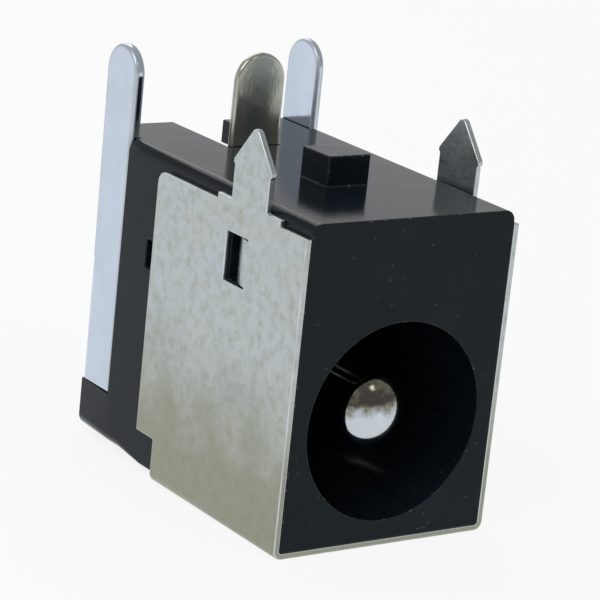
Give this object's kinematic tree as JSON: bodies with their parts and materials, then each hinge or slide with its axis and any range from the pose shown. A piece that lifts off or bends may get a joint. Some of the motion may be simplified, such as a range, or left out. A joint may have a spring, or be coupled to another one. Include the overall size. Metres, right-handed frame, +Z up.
{
  "type": "dc barrel jack",
  "caption": "Board-mounted dc power jack: moulded housing with a round socket and centre pin, a folded shield shell, flat solder pins and pointed board locks.",
  "frame": {"origin": "centre of the footprint on the surface that the shell rests on: halfway across the shell, halfway from the socket's front face to the rolled rim at the rear, at the shell's bottom face", "axes": "+X to the right seen from the socket's side, +Y from the socket's front face to the rear, +Z up from the shell through the board face, along the solder pins"},
  "size_m": [0.0082, 0.013, 0.0138],
  "materials": {
    "housing_plastic": "smooth gloss",
    "shell_metal": "satin tin plate",
    "pin_metal": "bright nickel plate",
    "contact_metal": "bright plate",
    "spring_metal": "smooth plate"
  },
  "bodies": {
    "root": {"housing": "housing_plastic", "shield_shell": "shell_metal", "centre_pin": "pin_metal", "rear_contact": "contact_metal", "switch_contact": "contact_metal", "sleeve_spring": "spring_metal"}
  },
  "joints": []
}
